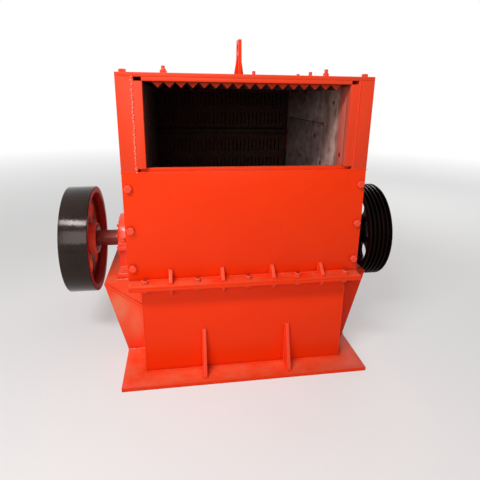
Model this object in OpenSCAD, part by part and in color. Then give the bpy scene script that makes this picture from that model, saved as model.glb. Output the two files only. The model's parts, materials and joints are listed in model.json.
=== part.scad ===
// Box-type hammer crusher: a welded two-part housing with a wide feed mouth,
// toothed and slotted wear liners, and a hammer rotor whose shaft carries a
// flywheel on the left and a grooved belt sheave on the right.
// Millimetres, +Z up, front towards -Y. The origin is the centre of the
// underside of the base flange.

/* [Housing] */
// Projection of the upright corner flanges past the upper side walls
corner_flange_w = 72; // [50:2:90]
// Depth from the front face to the back face
body_d = 1460; // [1400:10:1560]
// Height of the lower box walls
lower_h = 595; // [580:1:606]
// Height of the upper box walls
upper_h = 1134; // [1110:2:1200]
// Thickness of the wall plates
wall_t = 20; // [14:1:24]
// Thickness of the top cover
cover_t = 22; // [16:1:30]

/* [Base flange] */
// Thickness of the base flange
base_t = 25; // [20:1:35]
// Projection of the base flange past the side walls
base_side = 137; // [130:1:160]
// Projection of the base flange past the front and back walls
base_front = 140; // [130:2:180]
// Height of the triangular gussets on the base flange
base_gusset_h = 280; // [200:5:320]
// Distance of a base gusset from the centre line
base_gusset_x = 264; // [200:2:320]
// Gap left between a base gusset's toe and the edge of the flange
base_gusset_toe = 25; // [10:1:40]
// Thickness of all gusset plates
gusset_t = 20; // [12:1:24]

/* [Split flange] */
// Thickness of each of the two split flanges
split_t = 15; // [12:1:20]
// Projection of the split flanges past the lower side walls
split_side = 66; // [60:1:72]
// Projection of the split flanges past the front and back faces
split_front = 90; // [85:1:110]
// Height of the small gussets above and below the split flanges
split_gusset_h = 65; // [50:1:90]
// Depth of the small gussets
split_gusset_d = 75; // [60:1:80]
// Spacing of the small gussets
split_gusset_pitch = 304; // [280:4:320]

/* [Feed mouth] */
// Clear width of the feed mouth
mouth_w = 1130; // [900:10:1400]
// Height of the front panel below the mouth
panel_h = 641; // [600:1:700]
// Rise of the front liner's lip above the front panel
lip_rise = 18; // [10:1:30]
// Height of the bar that closes the mouth under the top cover
lintel_h = 20; // [16:1:40]
// Thickness of the jamb bars behind the front face
jamb_d = 55; // [50:1:70]

/* [Liners] */
// Thickness of the side liners
side_liner_t = 40; // [30:1:42]
// Thickness of the front liner
front_liner_t = 35; // [25:1:40]
// Height of the lower side liners above the shaft
low_liner_rise = 290; // [200:10:320]
// Thickness of the slotted back liners
back_liner_t = 60; // [50:1:70]
// Depth of the bars between the back liners and the back wall
liner_frame_d = 60; // [40:1:70]
// Joint between neighbouring liners
liner_joint = 4; // [2:0.5:6]
// Height of the top slotted back liner
top_liner_h = 307; // [300:1:320]
// Height of the two slotted back liners below the ledge bar
low_back_liner_h = 340; // [330:1:350]
// Height of the ledge bar between the back liners
ledge_h = 26; // [20:1:36]
// Projection of the ledge bar in front of the back liners
ledge_out = 26; // [15:1:35]
// Spacing of the slots in the back liners
slot_pitch = 34; // [30:1:40]
// Width of a slot
slot_w = 14; // [10:1:18]
// Depth of a slot
slot_depth = 30; // [15:1:40]
// Height of a slot
slot_h = 110; // [90:1:112]
// Plain height between the two rows of slots of a liner
slot_row_gap = 51; // [40:1:54]
// Least plain width left at each end of a slot row
slot_margin = 45; // [40:1:60]
// Spacing of the teeth of the ceiling liners
tooth_pitch = 61; // [50:1:70]
// Height of the teeth of the ceiling liners
tooth_h = 30; // [20:1:40]
// Least plain width left beside the teeth
tooth_margin = 40; // [30:1:60]
// Thickness of a ceiling liner above its teeth
ceiling_t = 22; // [18:1:30]

/* [Rotor] */
// Height of the shaft above the floor
shaft_z = 716; // [710:1:740]
// Distance of the shaft behind the front face
shaft_back = 600; // [580:5:640]
// Diameter of the shaft between the bearings
shaft_d = 150; // [140:1:155]
// Diameter of the shaft in the bearings
journal_d = 130; // [122:1:136]
// Diameter of the shaft in the wheels
shaft_end_d = 110; // [90:1:118]
// Clear diameter of the shaft holes in the side walls
shaft_hole_d = 170; // [168:1:180]
// Radius swept by the hammers
rotor_r = 480; // [460:2:490]
// Diameter of the rotor discs
disc_d = 720; // [690:4:740]
// Thickness of a rotor disc
disc_t = 30; // [20:1:40]
// Number of rotor discs
disc_count = 6; // [5:1:7]
// Gap between the rotor and the side liners
rotor_side_gap = 50; // [20:1:80]
// Diameter of the hammer pins
pin_d = 56; // [46:1:64]
// Radius on which the hammer pins lie
pin_r = 290; // [280:1:296]
// Number of hammer rows round the rotor
hammer_rows = 4; // [3:1:5]
// Width of a hammer along the shaft
hammer_w = 110; // [80:1:120]
// Breadth of a hammer head round the rotor
hammer_head = 150; // [120:1:170]
// Clearance of the pins, discs, hammers and wheels on their seats
seat_gap = 0.3; // [0.2:0.05:0.4]
// Radial clearance of the shaft in its bearings
bearing_gap = 0.1; // [0.05:0.01:0.15]

/* [Wheels] */
// Diameter of the flywheel
flywheel_d = 734; // [700:2:760]
// Width of the flywheel rim
flywheel_w = 175; // [150:1:200]
// Gap from the bearing's end cover to the flywheel
flywheel_gap = 149; // [110:1:160]
// Diameter of the belt sheave
sheave_d = 690; // [660:2:720]
// Gap from the bearing's end cover to the belt sheave
sheave_gap = 89; // [70:1:120]
// Number of belt grooves
groove_count = 5; // [4:1:6]
// Spacing of the belt grooves
groove_pitch = 31; // [30:0.5:33]
// Depth of a belt groove
groove_depth = 22; // [14:1:24]
// Thickness of the rim of both wheels
rim_t = 42; // [36:1:60]
// Thickness of the web of both wheels
web_t = 34; // [24:1:44]
// Depth of the web behind the inner face of the rim
web_depth = 48; // [30:1:60]
// Slope of the cast faces of the rim and the hub
draft = 10; // [4:1:14]
// Diameter of the hub of both wheels
hub_d = 210; // [180:2:230]
// Diameter of the lightening holes
wheel_hole_d = 120; // [90:2:130]
// Radius on which the lightening holes lie
wheel_hole_r = 190; // [185:1:220]
// Number of lightening holes
wheel_hole_count = 6; // [4:1:7]
// Turn of the flywheel's holes about the shaft
flywheel_turn = 28; // [0:1:59]
// Turn of the sheave's holes about the shaft
sheave_turn = 13; // [0:1:59]

/* [Keys] */
// Width of the key of each wheel
key_w = 28; // [22:1:32]
// Height of the key of each wheel
key_h = 16; // [12:1:18]
// Depth of the keyway in the shaft
keyway_depth = 10; // [8:1:11]
// Length of the keyway that shows beside the hub
keyway_out = 48; // [20:1:60]
// Angle of the keyways, from straight back over the top
keyway_angle = 175; // [0:5:355]

/* [Bearings] */
// Height of the bracket platform above the floor
platform_z = 521; // [506:1:524]
// Thickness of the bracket platform
platform_t = 25; // [20:1:30]
// Length of the bracket platform along the side wall
platform_l = 658; // [640:2:720]
// Reach of the bracket platform past the lower side wall
platform_reach = 262; // [250:1:275]
// Reach of the bracket ribs past the lower side wall at the base flange
rib_reach = 125; // [100:1:125]
// Thickness of the sloping face plate in front of the bracket
face_plate_t = 16; // [10:1:20]
// Drop of the face plate's upper edge towards the side wall
face_drop = 190; // [150:2:220]
// Width of a bearing housing along the shaft
housing_w = 110; // [100:1:120]
// Radius of a bearing housing
housing_r = 172; // [150:1:174]
// Length of a housing's foot
foot_l = 580; // [540:2:620]
// Thickness of a housing's foot
foot_t = 42; // [30:1:50]
// Length of the ears that the housing's halves are bolted together by
ear_w = 34; // [24:1:44]
// Height of each ear
ear_h = 26; // [18:1:32]
// Diameter of a housing's end cover
end_cover_d = 250; // [200:2:280]
// Thickness of a housing's end cover
end_cover_t = 10; // [6:1:14]

/* [Lifting lug] */
// Height of the lifting lug above the top cover
lug_h = 220; // [200:1:250]
// Thickness of the lifting lug
lug_t = 20; // [16:1:30]
// Length of the lug's foot on the top cover
lug_foot_l = 130; // [110:2:160]
// Length of the lug's head round the eye
lug_head_l = 82; // [76:2:104]
// Width of a lug gusset at its foot
lug_gusset_w = 22; // [16:1:40]
// Diameter of the eye in the lifting lug
lug_eye_d = 50; // [40:1:60]
// Distance of the lug behind the front face
lug_y = 450; // [380:5:520]

/* [Hidden] */
paint = [0.93, 0.27, 0.10];
dark_paint = [0.62, 0.14, 0.08];
liner_metal = [0.36, 0.30, 0.27];
machined_black = [0.07, 0.06, 0.07];
steel = [0.45, 0.32, 0.29];

$fn = 64;
eps = 1;

front_y = -body_d / 2;
back_y = body_d / 2;
shaft_y = front_y + shaft_back;
split_z = base_t + lower_h;
upper_z = split_z + 2 * split_t;
cover_z = upper_z + upper_h;
top_z = cover_z + cover_t;

// The upper side walls stand behind the side liners, the lower ones below them
liner_back_gap = 3;
upper_inner_x = mouth_w / 2 + side_liner_t + liner_back_gap;
upper_x = upper_inner_x + wall_t;
body_w = 2 * (upper_x + corner_flange_w);
lower_x = upper_x;
flange_x = lower_x + split_side;
base_x = lower_x + base_side;
base_y = back_y + base_front;
sill_z = upper_z + panel_h;
mouth_z = sill_z + lip_rise;
lintel_z = cover_z - lintel_h;
lintel_end = 4;
liner_front_y = front_y + jamb_d;
lip_end_gap = 8;
lip_end = upper_inner_x - lip_end_gap;

// Back liners
back_liner_y = back_y - wall_t - liner_frame_d - back_liner_t;
back_liner_x = mouth_w / 2 - liner_joint;
liner_top_z = cover_z - ceiling_t - tooth_h - liner_joint;
ledge_z = liner_top_z - top_liner_h - liner_joint - ledge_h;
middle_liner_z = ledge_z - liner_joint - low_back_liner_h;
bottom_liner_z = middle_liner_z - liner_joint - low_back_liner_h;
top_slot_low = 30;
low_slot_low = 15;
slot_count = floor(2 * (back_liner_x - slot_margin) / slot_pitch);
frame_bar_w = 60;
frame_bar_end = 150;
frame_bar_x = back_liner_x - frame_bar_end - frame_bar_w / 2;

// Ceiling liners
ceiling_rows = 4;
ceiling_x = mouth_w / 2 - liner_joint;
tooth_count = floor((mouth_w - 2 * tooth_margin) / tooth_pitch);

// Side liners: the seams seen through the feed mouth
strip_w = 130;
front_plate_w = 250;
seam_rise = 218;
low_liner_z = upper_z + liner_joint;
low_liner_top = shaft_z + low_liner_rise;
spacer_d = 40;

// Bearings
housing_gap = 4;
housing_in = flange_x + housing_gap;
shaft_shoulder = 8;
housing_out = housing_in + housing_w;
platform_x = lower_x + platform_reach;
rib_set_in = 8;
face_plate_over = 12;
face_inner_z = platform_z - face_drop;

// Rotor
bearing_end = housing_out + end_cover_t;
flywheel_x = -(bearing_end + flywheel_gap);
sheave_x = bearing_end + sheave_gap;
rotor_l = mouth_w - 2 * rotor_side_gap;
groove_margin = 5.5;
sheave_w = groove_count * groove_pitch + 2 * groove_margin;
shaft_stub = 8;
shaft_left = flywheel_x - flywheel_w - shaft_stub;
shaft_right = sheave_x + sheave_w + shaft_stub;
disc_step = (rotor_l - disc_t) / (disc_count - 1);
groove_top_w = 26;
groove_low_w = 12;
rotor_turn = 20;
eye_wall = 22;
head_start = 85;

// Lifting lug: its gussets end below the eye
lug_eye_z = lug_h - lug_eye_d;
lug_gusset_clear = 5;
lug_gusset_h = lug_eye_z - lug_eye_d / 2 - lug_gusset_clear;

// A block given by its lowest and highest corners
module block(low, high) {
    translate(low) cube(high - low);
}

// A round bar along X between two places
module bar_x(x1, x2, d) {
    translate([x1, 0, 0]) rotate([0, 90, 0]) cylinder(d = d, h = x2 - x1);
}

// The clear passage of the shaft through everything at its height
module shaft_passage(d) {
    translate([0, shaft_y, shaft_z]) bar_x(-body_w, body_w, d);
}

// An outline in Y and Z, drawn out along X from x1 to x2
module plate_x(x1, x2) {
    translate([x1, 0, 0]) rotate([90, 0, 90]) linear_extrude(x2 - x1) children();
}

// An outline in X and Z, drawn out along Y from y1 to y2
module plate_y(y1, y2) {
    translate([0, y2, 0]) rotate([90, 0, 0]) linear_extrude(y2 - y1) children();
}

// A flat ring: outer half sizes, inner half sizes and thickness
module ring(outer, inner, z, t) {
    difference() {
        block([-outer[0], -outer[1], z], [outer[0], outer[1], z + t]);
        block([-inner[0], -inner[1], z - eps], [inner[0], inner[1], z + t + eps]);
    }
}

// A triangular gusset against the front face, pointing towards -Y
module front_gusset(x, z, h, d, rise = 1) {
    toe = 15;
    plate_x(x - gusset_t / 2, x + gusset_t / 2)
        polygon([[front_y, z], [front_y - d, z], [front_y - d, z + rise * toe],
            [front_y - toe, z + rise * h], [front_y, z + rise * h]]);
}

// The same piece at the front and at the back
module front_and_back() {
    children();
    mirror([0, 1, 0]) children();
}

// The same piece on the left and on the right
module both_sides() {
    children();
    mirror([1, 0, 0]) children();
}

module base_flange() {
    color(paint) ring([base_x, base_y], [lower_x - wall_t, back_y - wall_t], 0, base_t);
}

module base_gussets() {
    color(paint) front_and_back() both_sides()
        front_gusset(base_gusset_x, base_t, base_gusset_h, base_front - base_gusset_toe);
}

module lower_front_wall() {
    color(paint) block([-lower_x, front_y, base_t], [lower_x, front_y + wall_t, split_z]);
}

module lower_back_wall() {
    color(paint) mirror([0, 1, 0])
        block([-lower_x, front_y, base_t], [lower_x, front_y + wall_t, split_z]);
}

module lower_side_wall() {
    block([lower_x - wall_t, front_y + wall_t, base_t], [lower_x, back_y - wall_t, split_z]);
}

module lower_left_wall() {
    color(paint) mirror([1, 0, 0]) lower_side_wall();
}

module lower_right_wall() {
    color(paint) lower_side_wall();
}

// A split flange, relieved where the shaft passes over it
module split_flange(z) {
    difference() {
        ring([flange_x, back_y + split_front], [lower_x - wall_t, back_y - wall_t], z, split_t);
        shaft_passage(shaft_hole_d);
    }
}

module lower_split_flange() {
    color(paint) split_flange(split_z);
}

module upper_split_flange() {
    color(paint) split_flange(split_z + split_t);
}

module split_gussets() {
    color(paint) front_and_back() both_sides() for (i = [0.5, 1.5]) {
        front_gusset(i * split_gusset_pitch, upper_z, split_gusset_h, split_gusset_d);
        front_gusset(i * split_gusset_pitch, split_z, split_gusset_h, split_gusset_d, -1);
    }
}

module front_panel() {
    color(paint) block([-body_w / 2, front_y, upper_z], [body_w / 2, front_y + wall_t, sill_z]);
}

module front_liner() {
    color(paint)
        block([-lip_end, front_y + wall_t, upper_z],
            [lip_end, front_y + wall_t + front_liner_t, mouth_z]);
}

// The flat strip and the inner bar beside the feed mouth
module jamb() {
    block([upper_inner_x, front_y, sill_z], [body_w / 2, front_y + wall_t, cover_z]);
    block([mouth_w / 2, front_y, mouth_z], [upper_inner_x, liner_front_y, lintel_z]);
}

module left_jamb() {
    color(paint) mirror([1, 0, 0]) jamb();
}

module right_jamb() {
    color(paint) jamb();
}

// Upright flanges on the side walls that the front and back plates bolt to
module corner_flanges() {
    color(paint) front_and_back() both_sides()
        block([upper_x, front_y + wall_t, upper_z],
            [body_w / 2, front_y + 2 * wall_t, cover_z]);
}

module upper_side_wall() {
    difference() {
        block([upper_inner_x, front_y + wall_t, upper_z], [upper_x, back_y - wall_t, cover_z]);
        shaft_passage(shaft_hole_d);
    }
}

module upper_left_wall() {
    color(paint) mirror([1, 0, 0]) upper_side_wall();
}

module upper_right_wall() {
    color(paint) upper_side_wall();
}

module upper_back_wall() {
    color(paint) block([-body_w / 2, back_y - wall_t, upper_z], [body_w / 2, back_y, cover_z]);
}

// Level stiffening bars on the side walls
module side_ribs() {
    color(paint) both_sides() for (z = [sill_z - panel_h / 3, sill_z + panel_h / 3])
        block([upper_x, front_y + 2 * wall_t, z],
            [body_w / 2 - wall_t, back_y - 2 * wall_t, z + gusset_t]);
}

module top_cover() {
    color(paint) block([-body_w / 2, front_y, cover_z], [body_w / 2, back_y, top_z]);
}

module lintel_bar() {
    color(paint) block([-mouth_w / 2 - lintel_end, front_y, lintel_z],
        [mouth_w / 2 + lintel_end, front_y + wall_t, cover_z]);
}

// Four plates with saw teeth that run from front to back
module ceiling_liners() {
    start = front_y + wall_t + liner_joint;
    step = (back_liner_y + back_liner_t - start) / ceiling_rows;
    half = tooth_count * tooth_pitch / 2;
    low = cover_z - ceiling_t;
    teeth = [for (i = [0 : tooth_count - 1]) each [
        [half - i * tooth_pitch, low],
        [half - (i + 0.5) * tooth_pitch, low - tooth_h]]];
    sides = [[-half, low], [-ceiling_x, low], [-ceiling_x, cover_z], [ceiling_x, cover_z],
        [ceiling_x, low]];
    color(liner_metal) for (i = [0 : ceiling_rows - 1])
        plate_y(start + i * step, start + (i + 1) * step - liner_joint)
            polygon(concat(sides, teeth));
}

// One wear plate of a side wall, held off the wall by two round spacers
module wear_plate(y1, y2, z1, z2) {
    x1 = mouth_w / 2;
    x2 = x1 + side_liner_t;
    block([x1, y1, z1], [x2, y2, z2]);
    for (z = [z1 + spacer_d, z2 - spacer_d])
        translate([x2, (y1 + y2) / 2, z])
            rotate([0, 90, 0]) cylinder(d = spacer_d, h = liner_back_gap);
}

// The wear plates of a side wall, with the joints that show through the mouth
module side_liners() {
    y1 = liner_front_y;
    y2 = y1 + strip_w;
    y3 = y2 + front_plate_w;
    y4 = back_liner_y - liner_joint;
    seam_z = mouth_z + seam_rise;
    base_z = low_liner_top + liner_joint;
    high_z = lintel_z - liner_joint;
    wear_plate(y1, y2 - liner_joint, base_z, high_z);
    wear_plate(y2, y3 - liner_joint, base_z, high_z);
    wear_plate(y3, y4, base_z, seam_z - liner_joint);
    wear_plate(y3, y4, seam_z, high_z);
    difference() {
        wear_plate(y1, y4, low_liner_z, low_liner_top);
        shaft_passage(shaft_hole_d);
    }
}

module left_liners() {
    color(liner_metal) mirror([1, 0, 0]) side_liners();
}

module right_liners() {
    color(liner_metal) side_liners();
}

// Upright bars that hold the back liners off the back wall
module liner_frame() {
    low = bottom_liner_z - liner_joint;
    color(dark_paint) for (x = [-frame_bar_x, 0, frame_bar_x])
        block([x - frame_bar_w / 2, back_y - wall_t - liner_frame_d, max(low, upper_z)],
            [x + frame_bar_w / 2, back_y - wall_t, liner_top_z]);
}

// A cast liner with two rows of upright slots in its face, the first one at low
module slotted_liner(z, h, low) {
    difference() {
        block([-back_liner_x, back_liner_y, z],
            [back_liner_x, back_liner_y + back_liner_t, z + h]);
        for (i = [0 : slot_count - 1], row = [low, low + slot_h + slot_row_gap])
            translate([(i - (slot_count - 1) / 2) * slot_pitch - slot_w / 2,
                back_liner_y - eps, z + row])
                cube([slot_w, slot_depth + eps, slot_h]);
    }
}

module top_back_liner() {
    color(liner_metal) slotted_liner(liner_top_z - top_liner_h, top_liner_h, top_slot_low);
}

module middle_back_liner() {
    color(liner_metal) slotted_liner(middle_liner_z, low_back_liner_h, low_slot_low);
}

module bottom_back_liner() {
    color(liner_metal) slotted_liner(bottom_liner_z, low_back_liner_h, low_slot_low);
}

module liner_ledge() {
    color(liner_metal) block([-back_liner_x, back_liner_y - ledge_out, ledge_z],
        [back_liner_x, back_liner_y + back_liner_t, ledge_z + ledge_h]);
}

// The welded bracket that carries a bearing housing beside the lower box
module bracket() {
    half = platform_l / 2;
    under = platform_z - platform_t;
    translate([0, shaft_y, 0]) {
        block([lower_x, -half, under], [platform_x, half, platform_z]);
        for (y = [-half, -gusset_t / 2, half - gusset_t])
            plate_y(y, y + gusset_t)
                polygon([[lower_x, base_t], [lower_x + rib_reach, base_t],
                    [platform_x - rib_set_in, under], [lower_x, under]]);
        plate_y(-half - face_plate_t, -half)
            polygon([[lower_x, base_t], [lower_x + rib_reach + face_plate_over, base_t],
                [platform_x, platform_z], [lower_x, face_inner_z]]);
    }
}

module left_bracket() {
    color(paint) mirror([1, 0, 0]) bracket();
}

module right_bracket() {
    color(paint) bracket();
}

// The round body of a bearing housing, with its end cover
module housing_round() {
    translate([0, shaft_y, shaft_z]) {
        bar_x(housing_in, housing_out, 2 * housing_r);
        bar_x(housing_out - eps, bearing_end, end_cover_d);
    }
}

// Everything of a housing above or below the shaft, to be cut away
module housing_half(side) {
    reach = 2 * housing_r;
    translate([0, shaft_y, shaft_z])
        block([housing_in - eps, -reach, min(side, 0) * reach],
            [bearing_end + eps, reach, max(side, 0) * reach]);
}

// The lower half of a bearing housing, on its foot
module housing() {
    difference() {
        union() {
            translate([0, shaft_y, 0]) {
                block([housing_in, -foot_l / 2, platform_z],
                    [housing_out, foot_l / 2, platform_z + foot_t]);
                block([housing_in, -housing_r, platform_z], [housing_out, housing_r, shaft_z]);
                block([housing_in, -housing_r - ear_w, shaft_z - ear_h],
                    [housing_out, housing_r + ear_w, shaft_z]);
            }
            housing_round();
        }
        housing_half(1);
        shaft_passage(journal_d + 2 * bearing_gap);
    }
}

module left_housing() {
    color(paint) mirror([1, 0, 0]) housing();
}

module right_housing() {
    color(paint) housing();
}

// The round upper half of a bearing housing
module cap() {
    difference() {
        union() {
            housing_round();
            translate([0, shaft_y, shaft_z])
                block([housing_in, -housing_r - ear_w, 0],
                    [housing_out, housing_r + ear_w, ear_h]);
        }
        housing_half(-1);
        shaft_passage(journal_d + 2 * bearing_gap);
    }
}

module left_cap() {
    color(paint) mirror([1, 0, 0]) cap();
}

module right_cap() {
    color(paint) cap();
}

// The lifting lug, an upright plate with an eye that points along the shaft
module lifting_lug() {
    foot = lug_foot_l / 2;
    head = lug_head_l / 2;
    color(paint) translate([0, front_y + lug_y, top_z]) difference() {
        plate_x(-lug_t / 2, lug_t / 2)
            polygon([[-foot, 0], [foot, 0], [head, lug_h], [-head, lug_h]]);
        translate([0, 0, lug_eye_z]) bar_x(-lug_t, lug_t, lug_eye_d);
    }
}

// The slim gussets that stand on both sides of the lug
module lug_gussets() {
    color(paint) both_sides() translate([0, front_y + lug_y, top_z])
        plate_y(-gusset_t / 2, gusset_t / 2)
            polygon([[lug_t / 2, 0], [lug_t / 2 + lug_gusset_w, 0], [lug_t / 2, lug_gusset_h]]);
}

// A slot or a key on the shaft's surface, from height z1 to z2 above the axis
module key_block(x1, x2, z1, z2, w) {
    translate([0, shaft_y, shaft_z]) rotate([keyway_angle - 90, 0, 0])
        block([x1, -w / 2, z1], [x2, w / 2, z2]);
}

module shaft() {
    shoulder = housing_in - shaft_shoulder;
    key_z = shaft_end_d / 2 - keyway_depth;
    color(steel) difference() {
        translate([0, shaft_y, shaft_z]) {
            bar_x(-shoulder, shoulder, shaft_d);
            bar_x(-bearing_end, bearing_end, journal_d);
            bar_x(shaft_left, shaft_right, shaft_end_d);
        }
        key_block(shaft_left - eps, flywheel_x + keyway_out, key_z, shaft_d, key_w);
        key_block(sheave_x - keyway_out, shaft_right + eps, key_z, shaft_d, key_w);
    }
}

// The keys between the shaft and the hubs of the two wheels
module wheel_keys() {
    low = shaft_end_d / 2 - keyway_depth + seat_gap;
    high = low + key_h;
    color(steel) {
        key_block(flywheel_x - flywheel_w, flywheel_x, low, high, key_w - 2 * seat_gap);
        key_block(sheave_x, sheave_x + sheave_w, low, high, key_w - 2 * seat_gap);
    }
}

// Half outline of a wheel's rim, along the axis from its inner face at 0 to w
module rim_outline(r, w) {
    inner = r - rim_t;
    polygon([[inner, 0], [r, 0], [r, w], [inner, w], [inner - draft, web_depth + web_t],
        [inner - draft, web_depth]]);
}

// Half outline of a wheel's hub and web, which carries the rim
module web_outline(r, w) {
    bore = shaft_end_d / 2 + seat_gap;
    hub = hub_d / 2;
    edge = r - rim_t - draft - seat_gap;
    polygon([[bore, 0], [hub, 0], [hub + draft, web_depth], [edge, web_depth],
        [edge, web_depth + web_t], [hub + draft, web_depth + web_t], [hub, w], [bore, w]]);
}

// Turns a wheel made on the Z axis onto the shaft, Z becoming the given side
module on_shaft(x, side) {
    translate([x, shaft_y, shaft_z]) rotate([0, side * 90, 0]) children();
}

// A hub and web with its lightening holes
module wheel_web(r, w, turn) {
    difference() {
        rotate_extrude($fn = 120) web_outline(r, w);
        for (i = [0 : wheel_hole_count - 1])
            rotate(turn + i * 360 / wheel_hole_count)
                translate([wheel_hole_r, 0, -eps]) cylinder(d = wheel_hole_d, h = w + 2 * eps);
    }
}

module flywheel_rim() {
    color(machined_black) on_shaft(flywheel_x, -1)
        rotate_extrude($fn = 120) rim_outline(flywheel_d / 2, flywheel_w);
}

module flywheel_web() {
    high = shaft_end_d / 2 - keyway_depth + key_h + 2 * seat_gap;
    color(dark_paint) difference() {
        on_shaft(flywheel_x, -1) wheel_web(flywheel_d / 2, flywheel_w, flywheel_turn);
        key_block(flywheel_x - flywheel_w - eps, flywheel_x + eps, 0, high, key_w);
    }
}

// The V grooves of the sheave, cut into its rim
module belt_grooves() {
    r = sheave_d / 2;
    for (i = [0 : groove_count - 1])
        translate([0, groove_margin + (i + 0.5) * groove_pitch])
            polygon([[r + eps, -groove_top_w / 2], [r + eps, groove_top_w / 2],
                [r - groove_depth, groove_low_w / 2], [r - groove_depth, -groove_low_w / 2]]);
}

module sheave_rim() {
    color(machined_black) on_shaft(sheave_x, 1) rotate_extrude($fn = 120) difference() {
        rim_outline(sheave_d / 2, sheave_w);
        belt_grooves();
    }
}

module sheave_web() {
    high = shaft_end_d / 2 - keyway_depth + key_h + 2 * seat_gap;
    color(machined_black) difference() {
        on_shaft(sheave_x, 1) wheel_web(sheave_d / 2, sheave_w, sheave_turn);
        key_block(sheave_x - eps, sheave_x + sheave_w + eps, 0, high, key_w);
    }
}

// Places something at each hammer row, turned about the shaft
module at_rows() {
    for (i = [0 : hammer_rows - 1])
        translate([0, shaft_y, shaft_z]) rotate([rotor_turn + i * 360 / hammer_rows, 0, 0])
            children();
}

module rotor_discs() {
    color(steel) difference() {
        for (i = [0 : disc_count - 1])
            translate([-rotor_l / 2 + i * disc_step, shaft_y, shaft_z]) bar_x(0, disc_t, disc_d);
        shaft_passage(shaft_d + 2 * seat_gap);
        at_rows() translate([0, 0, pin_r]) bar_x(-rotor_l, rotor_l, pin_d + 2 * seat_gap);
    }
}

module hammer_pins() {
    color(steel) at_rows() translate([0, 0, pin_r]) bar_x(-rotor_l / 2, rotor_l / 2, pin_d);
}

// A hammer's outline in Y and Z: an eye round its pin, a shank and a heavy head
module hammer_outline() {
    eye = pin_d + 2 * eye_wall;
    head_from = pin_r + head_start;
    difference() {
        intersection() {
            union() {
                translate([0, pin_r]) circle(d = eye);
                translate([-eye / 2, pin_r]) square([eye, head_from - pin_r + eps]);
                translate([-hammer_head / 2, head_from]) square([hammer_head, rotor_r]);
            }
            circle(r = rotor_r);
        }
        translate([0, pin_r]) circle(d = pin_d + 2 * seat_gap);
    }
}

module hammers() {
    color(liner_metal) at_rows() for (i = [0 : disc_count - 2]) {
        x = -rotor_l / 2 + (i + 0.5) * disc_step + disc_t / 2;
        plate_x(x - hammer_w / 2, x + hammer_w / 2) hammer_outline();
    }
}

base_flange();
base_gussets();
lower_front_wall();
lower_back_wall();
lower_left_wall();
lower_right_wall();
lower_split_flange();
upper_split_flange();
split_gussets();
front_panel();
front_liner();
left_jamb();
right_jamb();
corner_flanges();
upper_left_wall();
upper_right_wall();
upper_back_wall();
side_ribs();
top_cover();
lintel_bar();
ceiling_liners();
left_liners();
right_liners();
liner_frame();
top_back_liner();
middle_back_liner();
bottom_back_liner();
liner_ledge();
left_bracket();
right_bracket();
left_housing();
right_housing();
left_cap();
right_cap();
lifting_lug();
lug_gussets();
shaft();
wheel_keys();
flywheel_rim();
flywheel_web();
sheave_rim();
sheave_web();
rotor_discs();
hammer_pins();
hammers();
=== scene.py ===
import json
import math

import bmesh
import bpy
from mathutils import Matrix, Vector

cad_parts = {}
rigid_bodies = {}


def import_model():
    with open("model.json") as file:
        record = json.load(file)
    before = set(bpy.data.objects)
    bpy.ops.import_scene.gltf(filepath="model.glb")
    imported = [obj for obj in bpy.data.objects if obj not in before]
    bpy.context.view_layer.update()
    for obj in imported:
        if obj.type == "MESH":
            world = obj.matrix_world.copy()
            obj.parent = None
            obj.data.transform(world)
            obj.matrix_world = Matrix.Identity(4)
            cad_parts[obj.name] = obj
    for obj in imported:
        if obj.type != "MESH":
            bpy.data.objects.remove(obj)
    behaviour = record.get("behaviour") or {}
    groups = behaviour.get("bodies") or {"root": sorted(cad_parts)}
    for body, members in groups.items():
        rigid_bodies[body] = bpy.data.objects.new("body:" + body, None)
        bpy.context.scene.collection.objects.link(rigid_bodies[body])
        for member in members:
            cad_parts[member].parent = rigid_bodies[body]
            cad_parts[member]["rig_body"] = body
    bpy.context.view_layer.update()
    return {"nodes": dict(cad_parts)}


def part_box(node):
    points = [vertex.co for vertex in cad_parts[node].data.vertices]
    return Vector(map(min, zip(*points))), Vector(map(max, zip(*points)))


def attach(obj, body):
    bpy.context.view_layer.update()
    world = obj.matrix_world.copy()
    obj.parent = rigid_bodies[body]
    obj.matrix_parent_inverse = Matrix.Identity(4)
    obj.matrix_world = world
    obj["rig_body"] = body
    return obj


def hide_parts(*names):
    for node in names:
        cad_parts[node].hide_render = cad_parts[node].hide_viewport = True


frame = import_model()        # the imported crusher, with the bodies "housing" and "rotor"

scene = bpy.context.scene
upward = Vector((0, 0, 1))

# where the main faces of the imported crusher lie, in metres
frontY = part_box("front_panel")[0].y
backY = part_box("upper_back_wall")[1].y
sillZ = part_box("front_panel")[1].z
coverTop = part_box("top_cover")[1].z
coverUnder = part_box("top_cover")[0].z
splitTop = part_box("upper_split_flange")[1].z
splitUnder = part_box("lower_split_flange")[0].z
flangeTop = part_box("base_flange")[1].z
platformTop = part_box("right_bracket")[1].z
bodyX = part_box("front_panel")[1].x
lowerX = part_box("lower_right_wall")[1].x
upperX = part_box("upper_right_wall")[1].x
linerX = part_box("right_liners")[0].x
shaftY = (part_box("shaft")[0].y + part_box("shaft")[1].y) / 2
shaftZ = (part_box("shaft")[0].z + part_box("shaft")[1].z) / 2


# the camera, fitted to the edges of the housing in the photograph
cameraSetup = {
    "place": (-0.3908, -2.9554, 1.7026),
    "pitch": 16.341,     # degrees down
    "yaw": 8.743,        # degrees to the right
    "roll": 0.768,
    "lens": 30.402,
    "sensor": 36.0,
    "shiftY": -0.0552,
    "clipEnd": 200.0,
}


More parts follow.
